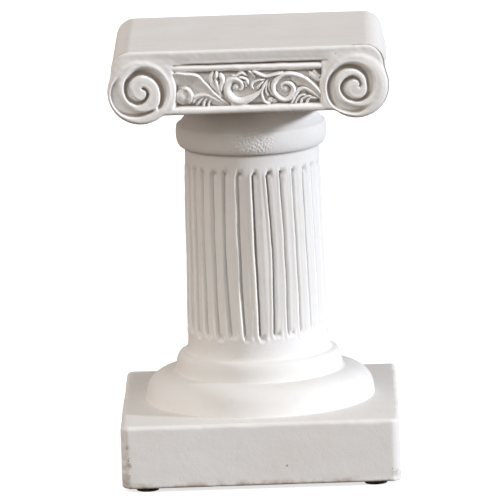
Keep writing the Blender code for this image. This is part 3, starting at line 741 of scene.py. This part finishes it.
frontRidges = [
    # berry and the leaf that curls over it
    ridgeOn([(-33.0, 9.6), (-30.1, 8.2), (-28.7, 5.2), (-29.9, 2.2)], (1.6, 1.7), 2.8, (0.5, 0.5)),
    ridgeOn([(-35.9, 17.2), (-30.3, 16.6), (-25.6, 15.6), (-22.4, 12.5), (-19.5, 9.3), (-17.4, 6.7),
        (-13.6, 3.2), (-10.5, 1.0)], (1.0, 6.4), 3.0, (0.9, 0.2), falls=True),
    # low leaf with three fingers
    ridgeOn([(-28.0, 2.2), (-26.9, 4.7), (-23.4, 5.9), (-20.0, 5.5), (-16.4, 3.5), (-12.4, 1.2)],
        (1.2, 2.1), 2.7, (0.4, 0.3)),
    ridgeOn([(-22.4, 4.6), (-24.4, 2.8), (-25.9, 0.6)], (0.8, 0.8), 2.2, (0.6, 0.8)),
    ridgeOn([(-20.3, 4.4), (-22.1, 2.6), (-22.7, 0.2)], (0.8, 0.8), 2.3, (0.6, 0.8)),
    ridgeOn([(-17.6, 3.8), (-19.6, 2.3), (-20.2, 0.1)], (0.8, 0.8), 2.3, (0.6, 0.7)),
    # palmette
    ridgeOn([(-13.6, 4.2), (-15.2, 7.4), (-17.6, 10.5), (-18.6, 14.0), (-17.4, 17.2)], (1.3, 1.5), 2.6,
        (0.3, 0.5)),
    ridgeOn([(-14.0, 5.6), (-15.3, 9.4), (-16.0, 12.2), (-15.6, 17.4)], (1.2, 1.3), 2.9, (0.3, 0.6)),
    ridgeOn([(-14.0, 6.6), (-13.6, 9.6), (-12.7, 12.4), (-13.6, 16.0)], (1.5, 1.6), 2.9, (0.3, 0.6)),
    # first scroll, which runs on to the right
    ridgeOn([(-4.9, 8.3), (-3.5, 7.9), (-2.8, 9.7), (-3.4, 11.7), (-5.3, 13.1), (-7.6, 13.5),
        (-9.7, 12.6), (-10.9, 10.6), (-11.2, 8.0), (-10.5, 5.2), (-8.7, 2.9), (-5.9, 1.5), (-2.8, 1.4),
        (0.5, 2.5), (3.5, 4.2), (6.3, 6.6), (8.2, 9.1), (9.7, 11.4)], (2.0, 1.1), 2.8, (0.35, 0.3),
        grow=1.5),
    ridgeOn([(-9.0, 1.0), (-6.0, 0.3), (-2.0, 0.6)], (1.6, 1.2), 2.0, (0.3, 0.4)),
    # leaf tips above it
    ridgeOn([(-8.4, 15.6), (-5.9, 15.2), (-3.2, 16.4), (-0.2, 14.7)], (0.9, 1.0), 2.3, (0.4, 0.4)),
    ridgeOn([(-5.0, 14.3), (-2.6, 14.0), (-0.4, 12.6), (0.0, 10.4)], (1.0, 1.1), 2.4, (0.4, 0.6)),
    ridgeOn([(-2.2, 12.0), (-1.2, 11.0), (-1.0, 9.2)], (0.8, 0.8), 2.0, (0.5, 0.6)),
    ridgeOn([(0.6, 17.2), (2.2, 15.9), (3.7, 13.6)], (1.0, 0.9), 2.4, (0.6, 0.4)),
    ridgeOn([(3.0, 17.2), (5.8, 15.4), (8.9, 14.4), (11.9, 14.6), (15.0, 15.3), (17.6, 16.2)], (1.0, 1.1),
        2.9, (0.7, 0.5)),
    # split pod between the scrolls
    ridgeOn([(2.9, 7.6), (1.8, 9.6), (3.0, 11.5), (5.6, 12.4), (8.4, 12.6)], (0.9, 0.8), 2.3, (0.5, 0.4)),
    ridgeOn([(4.4, 7.6), (5.8, 9.6), (7.9, 11.8)], (0.8, 0.8), 2.2, (0.5, 0.5)),
    # fingers that hang from the fork
    ridgeOn([(10.0, 12.6), (7.9, 9.4), (6.9, 6.6), (7.0, 3.9), (8.0, 1.6), (9.8, 0.4)], (1.0, 0.9), 2.6,
        (0.4, 0.7)),
    ridgeOn([(9.9, 11.4), (9.1, 8.9), (9.1, 6.2), (10.3, 4.2)], (0.8, 0.8), 2.4, (0.4, 0.6)),
    ridgeOn([(10.8, 11.4), (10.6, 8.0), (11.6, 5.6), (13.2, 4.2)], (0.8, 0.8), 2.4, (0.4, 0.5)),
    # second scroll
    ridgeOn([(30.8, 10.4), (28.2, 12.6), (25.3, 14.3), (21.7, 15.2), (17.8, 14.9), (14.8, 13.3),
        (13.0, 10.8), (12.5, 8.0), (13.3, 5.1), (15.4, 2.9), (18.3, 1.9), (20.8, 2.6), (22.4, 4.6),
        (23.1, 7.0), (22.2, 9.3), (20.1, 10.5), (18.0, 10.4), (16.8, 8.9), (17.2, 6.9)], (1.7, 1.2), 2.8,
        (0.6, 0.4)),
    # broad leaf that falls away to the right
    ridgeOn([(22.0, 15.4), (25.6, 14.2), (29.6, 12.0), (33.4, 8.6), (37.4, 3.6)], (1.2, 5.6), 2.7,
        (0.5, 0.5), falls=True),
    ridgeOn([(21.4, 0.2), (22.3, 2.6), (23.8, 5.2), (25.6, 7.2), (28.6, 7.6), (31.6, 6.2), (36.2, 2.4)],
        (0.9, 1.7), 2.4, (0.5, 0.5)),
    ridgeOn([(23.5, 0.2), (24.7, 2.4), (26.7, 4.0), (29.2, 4.3)], (0.8, 0.8), 2.1, (0.8, 0.4)),
    ridgeOn([(26.3, 0.3), (27.5, 2.3), (29.6, 3.4), (32.0, 3.4)], (0.8, 0.8), 2.1, (0.8, 0.4)),
    ridgeOn([(29.2, 0.2), (30.2, 1.8), (32.1, 2.6), (34.9, 2.2)], (0.8, 0.8), 2.1, (0.8, 0.4)),
    # small three-cornered leaf in the upper right corner
    ridgeOn([(31.2, 15.4), (33.6, 13.6), (36.2, 11.6)], (1.6, 1.7), 2.0, (0.4, 0.9)),
    ridgeOn([(33.4, 16.6), (34.4, 14.4), (36.2, 12.6)], (1.2, 1.2), 1.9, (0.4, 0.9)),
]
# middle, radius, height of each round boss
frontBosses = [
    (-33.3, 5.0, 3.9, 2.4), (-6.0, 9.2, 2.2, 2.3), (11.4, 2.2, 1.7, 2.3), (13.0, 1.6, 1.4, 2.0),
    (10.2, 0.9, 1.4, 2.0), (18.7, 7.7, 2.2, 2.3), (-14.2, 5.0, 1.6, 2.3),
]
# middle, radius, depth of each bored hole
frontHoles = [
    (-15.1, 13.6, 0.9, 1.8), (-25.7, 0.6, 0.7, 1.4), (-19.0, 0.9, 0.7, 1.4), (-31.4, 0.4, 0.6, 1.0),
    (24.9, 0.8, 0.7, 1.6), (28.1, 1.3, 0.7, 1.6), (31.4, 1.0, 0.7, 1.4), (36.6, 15.2, 0.9, 2.4),
    (36.6, 12.6, 0.7, 2.0),
]

backRidges = [
    ridgeOn([(0.0, 1.0), (0.0, 9.0), (0.0, 16.8)], (2.6, 2.6), 2.4, (0.4, 0.3)),
    ridgeOn([(2.0, 1.6), (4.6, 6.4), (7.6, 9.2)], (1.2, 1.2), 2.0, (0.5, 0.4)),
    ridgeOn([(24.0, 9.6), (22.2, 13.8), (18.0, 16.2), (12.8, 15.2), (9.2, 11.4), (9.0, 6.4), (12.4, 2.6),
        (17.0, 2.0), (20.6, 4.6), (21.0, 8.6), (17.8, 11.2), (14.4, 9.6), (14.8, 6.8)], (1.5, 1.2), 2.4,
        (0.4, 0.4)),
    ridgeOn([(17.4, 16.0), (25.0, 13.2), (30.4, 7.4), (35.8, 2.2)], (1.2, 3.4), 2.3, (0.4, 0.4)),
    ridgeOn([(27.0, 16.4), (34.0, 14.2)], (1.7, 1.7), 1.9, (0.5, 0.5)),
]
backBosses = [(16.6, 7.4, 1.9, 2.2)]


# Height of one ridge over the floor: with d the distance from its path, divided by the half-width on that
# side, the height is high * (1 - d * d) to the power fullness, and both shrink towards the ends. A ridge
# that falls slopes down evenly on its right side, as high * (1 - d) to the power 0.8.
def ridgeHeight(u, v, ridge):
    knots = np.array(ridge["path"])
    along = np.linspace(0.0, len(knots) - 1, 9 * len(knots))
    path = throughKnots(knots, along)
    reach = max(ridge["wide"]) * ridge["grow"] + 0.5
    near = (u > path[:, 0].min() - reach) & (u < path[:, 0].max() + reach)
    near &= (v > path[:, 1].min() - reach) & (v < path[:, 1].max() + reach)
    height = np.full(u.shape, -1.0)
    places = np.stack([u[near], v[near]], axis=1)
    startOf, run = path[:-1], np.diff(path, axis=0)
    away = places[:, None, :] - startOf[None, :, :]
    share = np.clip((away * run).sum(axis=2) / (run ** 2).sum(axis=1), 0.0, 1.0)
    offset = away - share[..., None] * run
    distance = np.hypot(offset[..., 0], offset[..., 1])
    closest = distance.argmin(axis=1)
    pick = np.arange(len(places))
    distance = distance[pick, closest]
    side = run[closest, 0] * offset[pick, closest, 1] - run[closest, 1] * offset[pick, closest, 0]
    t = (closest + share[pick, closest]) / len(run)
    first, last = ridge["ends"]
    taper = np.minimum(1.0, np.minimum(first + 3.2 * t, last + 3.2 * (1.0 - t)))
    grow = 1.0 + (ridge["grow"] - 1.0) * np.sin(math.pi * np.clip(t, 0.0, 1.0)) ** 2
    wide = np.where(side > 0.0, ridge["wide"][0], ridge["wide"][1]) * taper * grow
    rise = carvingLook["boost"] * ridge["high"] * (0.55 + 0.45 * taper)
    cross = distance / wide
    profile = np.maximum(1.0 - cross ** 2, 0.0) ** carvingLook["fullness"]
    if ridge["falls"]:
        profile = np.where(side > 0.0, profile, np.maximum(1.0 - cross, 0.0) ** 0.8)
    height[near] = np.where(cross < 1.0, rise * profile, -1.0)
    return height


def makeCarving(name, ridges, bosses, holes, mirrored, face, finish):
    look = carvingLook
    tall = panelTop - panelFoot + 1.2
    u = np.linspace(-look["halfLength"], look["halfLength"], look["columns"])
    v = np.linspace(-0.6, tall - 0.6, look["rows"])
    u, v = np.meshgrid(u, v)
    swayU = u + look["sway"] * ripple(51, 5.0, u, v)
    swayV = v + look["sway"] * ripple(52, 5.0, u, v)
    if mirrored:
        swayU = abs(swayU)
    relief = 0.0 * u - look["sink"]
    for ridge in ridges:
        relief = softMax(relief, ridgeHeight(swayU, swayV, ridge), 0.12)
    for middleU, middleV, radius, rise in bosses:
        share = np.hypot(swayU - middleU, swayV - middleV) / radius
        bulge = look["boost"] * rise * np.maximum(1.0 - share ** 2, 0.0) ** look["fullness"]
        relief = np.maximum(relief, np.where(share < 1.0, bulge, -1.0))
    for middleU, middleV, radius, depth in holes:
        relief = relief - depth * dome(np.hypot(swayU - middleU, swayV - middleV), radius * 1.5)
    relief = relief + 0.05 * ripple(53, 1.7, u, v) * (relief > 0.0)
    relief = np.clip(relief, -look["sink"], capitalLook["panelDepth"] - 0.1)
    depth = capitalHalfDepth - capitalLook["panelDepth"]
    z = panelFoot + v
    near = np.stack([u, face * (depth + relief), z], axis=2)
    # painted shade in the carving's hollows and, with some dust, on its low floor, darker towards the right
    # end; the crests get a painted highlight
    hollow = (blurred(relief, 4) - relief) / look["shadeSpan"]
    hollow = hollow + look["floorShade"] * smoothStep(1.6, 0.0, relief)
    atMiddle, rightwards = look["shadeDrift"]
    hollow = hollow * (atMiddle + rightwards * u / look["halfLength"])
    edge = near.reshape(-1, 3)[border(look["rows"], look["columns"])]
    rear = edge.copy()
    rear[:, 1] = face * (depth - look["sink"] - 1.0)
    middle = (0.0, rear[0, 1], z.mean())
    carving = closedMesh(name, near, [rear], middle)
    markHollows(carving, len(rear), hollow)
    return settle(carving, finish, "gypsum", "column")


# Materials

class Wire:  # one output of a node; sums, differences, products and powers of wires add Math nodes
    def __init__(self, maker, socket):
        self.maker = maker
        self.socket = socket

    def join(self, operation, first, second):
        return self.maker.node("ShaderNodeMath", {"operation": operation}, {0: first, 1: second})

    def __add__(self, other):
        return self.join("ADD", self, other)

    def __sub__(self, other):
        return self.join("SUBTRACT", self, other)

    def __rsub__(self, other):
        return self.join("SUBTRACT", other, self)

    def __mul__(self, other):
        return self.join("MULTIPLY", self, other)

    def __pow__(self, other):
        return self.join("POWER", self, other)

    __radd__ = __add__
    __rmul__ = __mul__


class Maker:  # makes the nodes of one node tree
    def __init__(self, tree):
        self.tree = tree

    def node(self, kind, settings=None, sockets=None, output=0):
        made = self.tree.nodes.new(kind)
        for name, value in (settings or {}).items():
            setattr(made, name, value)
        for name, value in (sockets or {}).items():
            if isinstance(value, Wire):
                self.lead(value, made, name)
            else:
                made.inputs[name].default_value = value
        return Wire(self, made.outputs[output])

    def lead(self, wire, node, name):
        self.tree.links.new(wire.socket, node.inputs[name])

    def noise(self, place, scale, detail=2.0, rough=0.5, stretch=None):
        if stretch:
            place = self.node("ShaderNodeMapping", {}, {"Vector": place, "Scale": stretch})
        sockets = {"Vector": place, "Scale": scale, "Detail": detail, "Roughness": rough}
        return self.node("ShaderNodeTexNoise", {}, sockets)

    def cells(self, place, scale):
        return self.node("ShaderNodeTexVoronoi", {}, {"Vector": place, "Scale": scale})

    def mix(self, share, first, second, blend="MIX"):  # colours
        settings = {"data_type": "RGBA", "blend_type": blend}
        return self.node("ShaderNodeMix", settings, {0: share, 6: first, 7: second}, 2)

    def between(self, value, low, high, first=0.0, second=1.0):
        return self.node("ShaderNodeMapRange", {"interpolation_type": "SMOOTHSTEP"},
                         {0: value, 1: low, 2: high, 3: first, 4: second})

    def bump(self, height, strength, distance):
        sockets = {"Strength": strength, "Distance": distance, "Height": height}
        return self.node("ShaderNodeBump", {}, sockets)

    # 1 within a radius of a point, 0 past it; places are in millimetres
    def spot(self, place, x, y, z, radius, soft=0.5):
        distance = self.node("ShaderNodeVectorMath", {"operation": "DISTANCE"},
                             {0: place, 1: (x * mm, y * mm, z * mm)}, "Value")
        return self.between(distance, radius * (1.0 - soft) * mm, radius * mm, 1.0, 0.0)


# A new material: itself, the maker of its nodes, its shader and the place in the object
def newFinish(name, plain):
    made = bpy.data.materials.new(name)
    made.use_nodes = True
    made.diffuse_color = plain
    maker = Maker(made.node_tree)
    place = maker.node("ShaderNodeTexCoord", {}, {}, "Object")
    return made, maker, made.node_tree.nodes["Principled BSDF"], place


gypsumLook = {
    "crestHighlight": (0.94, 0.93, 0.92, 1.0),        # painted highlight on crests
    "pale": (0.840, 0.832, 0.822, 1.0),
    "warm": (0.820, 0.798, 0.775, 1.0),
    "grey": (0.760, 0.745, 0.728, 1.0),
    "stain": (0.42, 0.33, 0.25, 1.0),
    "fleck": (0.20, 0.17, 0.14, 1.0),
    "dustAndShade": (0.27, 0.225, 0.185, 1.0),     # painted shade, with some dust, in the hollows of the carving, shaft and capital
    "hollowShade": 0.88,                    # its strength in the deepest ones
    "highlightFrom": -0.4,                    # how sharp a crest has to be to get the full painted highlight
    "footDirt": 0.75,                      # strength of the brown line along the plinth's lower edge
    "roughness": 0.86,
    "gloss": 0.35,
    "bump": (0.75, 0.0006),                # strength, and height in metres
}


# Cast gypsum: a pale ground, broad warm clouds, grey where pores and brush marks hold dust, painted shade
# (with some dust) in the hollows and a painted highlight on the crests, both read from the hollow
# attribute, then a bump of soft lumps, grain and pits. Streaks run along X where asked; stains are spots
# with ragged edges, and flecks are small round ones.
def gypsum(name, streaks=0.0, stains=(), flecks=(), blisters=(), grain=1.0, footDirt=False):
    look = gypsumLook
    made, maker, shader, place = newFinish(name, look["pale"])
    shader.inputs["Specular IOR Level"].default_value = look["gloss"]
    clouds = maker.between(maker.noise(place, 26.0, 3.0, 0.55), 0.35, 0.70)
    dustAndShade = maker.between(maker.noise(place, 150.0, 3.0, 0.6), 0.52, 0.78)
    fine = maker.noise(place, 900.0, 2.0, 0.6)
    lumps = maker.noise(place, 220.0, 2.0, 0.5)
    sparse = maker.between(maker.noise(place, 70.0, 1.0), 0.58, 0.66)
    pits = maker.between(maker.cells(place, 300.0), 0.06, 0.13, 1.0, 0.0) * sparse
    colour = look["pale"]

    def lay(share, tone):
        nonlocal colour
        colour = maker.mix(share, colour, look[tone])

    lay(clouds * 0.75, "warm")
    lay(dustAndShade * 0.35, "grey")
    lay(pits * 0.3, "grey")
    height = lumps * 0.26 + fine * (0.16 * grain) - pits * 0.2
    if streaks:
        brush = maker.noise(place, 260.0, 3.0, 0.62, (0.06, 1.0, 0.35))
        lay(maker.between(brush, 0.48, 0.74) * (0.5 * streaks), "grey")
        height = height + brush * (0.55 * streaks)
    if blisters:
        cells = maker.cells(place, 780.0)
        for x, y, z, radius in blisters:
            height = height + cells * maker.spot(place, x, y, z, radius, 0.8) * 0.9
    hollow = maker.node("ShaderNodeAttribute", {"attribute_name": "hollow"}, {}, "Fac")
    # painted highlight on the crests, then painted shade with some dust in the hollows
    lay(maker.between(hollow, look["highlightFrom"], 0.0, 1.0, 0.0), "crestHighlight")
    lay(maker.between(hollow, 0.0, 1.0) * look["hollowShade"], "dustAndShade")
    ragged = maker.noise(place, 420.0, 3.0, 0.7)
    if footDirt:
        z = maker.node("ShaderNodeSeparateXYZ", {}, {"Vector": place}, "Z")
        low = maker.between(z, (columnFoot + 0.6) * mm, (columnFoot + 4.2) * mm, 1.0, 0.0)
        runs = maker.between(maker.noise(place, 60.0, 4.0, 0.65), 0.43, 0.60)
        lay(low * runs * look["footDirt"], "stain")
    for x, y, z, radius, strength in stains:
        mask = maker.spot(place, x, y, z, radius, 0.9) * maker.between(ragged, 0.42, 0.62)
        lay(mask * strength, "stain")
    for x, y, z, radius in flecks:
        mask = maker.spot(place, x, y, z, radius, 0.6)
        lay(mask * 0.8, "fleck")
    maker.lead(colour, shader, "Base Color")
    maker.lead(maker.bump(height, *look["bump"]), shader, "Normal")
    maker.lead(look["roughness"] + 0.08 * dustAndShade, shader, "Roughness")
    return made


padLook = {
    "dark": (0.035, 0.045, 0.038, 1.0),
    "dusty": (0.14, 0.15, 0.13, 1.0),
    "roughness": 0.92,
    "bump": (0.6, 0.0003),     # strength, and height in metres
    "bulge": 0.06,             # share of the radius by which it swells at mid height
    "unevenness": 0.006,       # share by which its outline wanders
    "segments": 96,
    "rings": 6,
}


# Felted pad: dark fibres, dusty where they stand proud
def padFinish():
    made, maker, shader, place = newFinish("darkFelt", padLook["dark"])
    fibres = maker.noise(place, 1800.0, 3.0, 0.7, (1.0, 1.0, 0.4))
    colour = maker.mix(maker.between(fibres, 0.45, 0.75), padLook["dark"], padLook["dusty"])
    maker.lead(colour, shader, "Base Color")
    maker.lead(maker.bump(fibres, *padLook["bump"]), shader, "Normal")
    shader.inputs["Roughness"].default_value = padLook["roughness"]
    return made


# A round pad: its radius swells a little at mid height, as soft felt does under load
def makePad(node, finish):
    low, high = (np.array(corner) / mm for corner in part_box(node))
    middle, half = (low + high) / 2, (high - low) / 2
    angle = np.linspace(0.0, 2 * math.pi, padLook["segments"], endpoint=False)
    cosine, sine = np.cos(angle), np.sin(angle)
    outline = 1.0 - padLook["unevenness"] * (1.0 + ripple(61, 1.2, 6 * cosine, 6 * sine))
    bulge = padLook["bulge"]
    rows = []
    for share in np.linspace(0.0, 1.0, padLook["rings"]):
        turn = math.pi * (share - 0.5)
        radius = half[0] * (1.0 - bulge + bulge * math.cos(turn)) * outline
        height = low[2] + (high[2] - low[2]) * share + 0.0 * angle
        rows.append(np.stack([middle[0] + radius * cosine, middle[1] + radius * sine, height], axis=1))
    pad = closedMesh(f"{node}_felt", (*middle[:2], low[2]), rows, (*middle[:2], high[2]))
    return settle(pad, finish, "pad", node)


# Camera, light and floor

viewLook = {
    "azimuth": math.radians(0.878),
    "elevation": math.radians(10.712),
    "roll": math.radians(2.034),
    "distance": 3.55,
    "target": (-0.0028, 0.0, 0.1106),
    "lens": 497.05,
    "sunAzimuth": math.radians(76.0),
    "sunElevation": math.radians(12.3),
    "sunSize": math.radians(5.0),
    "sunStrength": 2.9,
    "sunColour": (0.935, 0.99, 1.08),
    "sky": (0.135, 0.102, 0.075, 1.0),
    # direction and colour of each bright part of the room; it fades as the cube of the cosine
    "brightParts": [
        ((0.0, -0.62, 0.78), (0.94, 0.985, 0.995, 1.0)),
        ((-1.0, 0.0, 0.2), (0.91, 0.80, 0.73, 1.0)),
        ((-0.65, -0.75, 0.25), (0.54, 0.50, 0.455, 1.0)),
        ((0.85, -0.5, 0.0), (0.15, 0.15, 0.155, 1.0)),
    ],
    "bounce": (0.115, 0.082, 0.058, 1.0),         # of the floor, for every ray but the camera's own
    "floorHalf": 3.0,
    "floorGlow": 0.72,                            # of the floor as the camera sees it
}


def outOf(azimuth, elevation):
    flat = math.cos(elevation)
    return Vector((math.sin(azimuth) * flat, -math.cos(azimuth) * flat, math.sin(elevation)))


def makeCamera():
    look = viewLook
    data = bpy.data.cameras.new("camera")
    data.sensor_width = 36.0
    data.lens = look["lens"]
    camera = addObject("camera", data)
    away = outOf(look["azimuth"], look["elevation"])
    camera.location = Vector(look["target"]) + away * look["distance"]
    camera.rotation_mode = "QUATERNION"
    camera.rotation_quaternion = (-away).to_track_quat("-Z", "Y") @ Quaternion((0, 0, 1), -look["roll"])
    bpy.context.scene.camera = camera


def makeLight():
    look = viewLook
    data = bpy.data.lights.new("window", "SUN")
    data.energy = look["sunStrength"]
    data.angle = look["sunSize"]
    data.color = look["sunColour"]
    sun = addObject("window", data)
    sun.rotation_mode = "QUATERNION"
    sun.rotation_quaternion = (-outOf(look["sunAzimuth"], look["sunElevation"])).to_track_quat("-Z", "Y")

    # the room: dim all round, brighter where its windows are, and white to the camera itself
    world = bpy.data.worlds.new("room")
    bpy.context.scene.world = world
    world.use_nodes = True
    tree = world.node_tree
    maker = Maker(tree)
    direction = maker.node("ShaderNodeTexCoord", {}, {}, "Generated")
    sky = look["sky"]
    for towards, colour in look["brightParts"]:
        towards = Vector(towards).normalized()
        facing = maker.node("ShaderNodeVectorMath", {"operation": "DOT_PRODUCT"},
                            {0: direction, 1: towards}, "Value")
        sky = maker.mix(facing.join("MAXIMUM", facing, 0.0) ** 3.0, sky, colour, "ADD")
    seen = maker.node("ShaderNodeLightPath", {}, {}, "Is Camera Ray")
    colour = maker.mix(seen, sky, (1.0, 1.0, 1.0, 1.0))
    maker.lead(colour, tree.nodes["Background"], "Color")


def makeFloor():
    half = viewLook["floorHalf"]
    mesh = bpy.data.meshes.new("floor")
    corners = [(-half, -half, 0), (half, -half, 0), (half, half, 0), (-half, half, 0)]
    mesh.from_pydata(corners, [], [(0, 1, 2, 3)])
    floor = addObject("floor", mesh)
    made = bpy.data.materials.new("paleFloor")
    made.use_nodes = True
    tree = made.node_tree
    maker = Maker(tree)
    tree.nodes.remove(tree.nodes["Principled BSDF"])
    seen = maker.node("ShaderNodeLightPath", {}, {}, "Is Camera Ray")
    matt = maker.node("ShaderNodeBsdfDiffuse", {}, {"Color": viewLook["bounce"]})
    pale = maker.node("ShaderNodeBsdfDiffuse", {}, {"Color": (0.9, 0.9, 0.9, 1)})
    glow = maker.node("ShaderNodeEmission", {}, {"Color": (1, 1, 1, 1), "Strength": viewLook["floorGlow"]})
    bright = maker.node("ShaderNodeAddShader", {}, {0: pale, 1: glow})
    surface = maker.node("ShaderNodeMixShader", {}, {0: seen, 1: matt, 2: bright})
    maker.lead(surface, tree.nodes["Material Output"], "Surface")
    mesh.materials.append(made)


bpy.context.scene.view_settings.view_transform = "Standard"
makeCamera()
makeLight()
makeFloor()
print("camera, light and floor are in place")

bodyFinish = gypsum(
    "gypsumBody",
    blisters=[(-5.0, -38.5, 173.8, 10.0), (5.0, -38.5, 172.6, 11.0)],
)
plinthFinish = gypsum(
    "gypsumPlinth",
    footDirt=True,
    stains=[(69.0, -71.0, 6.5, 4.5, 0.5), (-70.0, -70.0, 9.0, 7.0, 0.35), (-67.4, -71.0, 24.0, 2.0, 0.9),
            (-67.0, -71.0, 19.5, 2.4, 0.9), (-67.2, -71.0, 14.5, 2.6, 0.9), (-66.8, -71.0, 9.5, 2.2, 0.9)],
    flecks=[(-67.2, -71.0, 17.2, 0.7), (13.2, -71.0, 12.2, 0.8), (66.5, -71.0, 9.0, 0.6)],
)
capitalFinish = gypsum(
    "gypsumCapital",
    streaks=0.5,
    flecks=[(-64.8, -57.4, 221.5, 0.9), (46.5, -57.5, 190.0, 0.7), (60.5, -57.0, 195.0, 0.7),
            (44.6, -57.4, 220.4, 0.8)],
)
carvingFinish = gypsum("gypsumCarving", grain=1.4)

makePlinth(plinthFinish)
makeShaft(bodyFinish)
makeCapital(capitalFinish)
makeCarving("front_carving", frontRidges, frontBosses, frontHoles, False, front, carvingFinish)
makeCarving("back_carving", backRidges, backBosses, [], True, back, carvingFinish)
felt = padFinish()
for node in sorted(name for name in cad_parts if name.startswith("foot_pad")):
    makePad(node, felt)
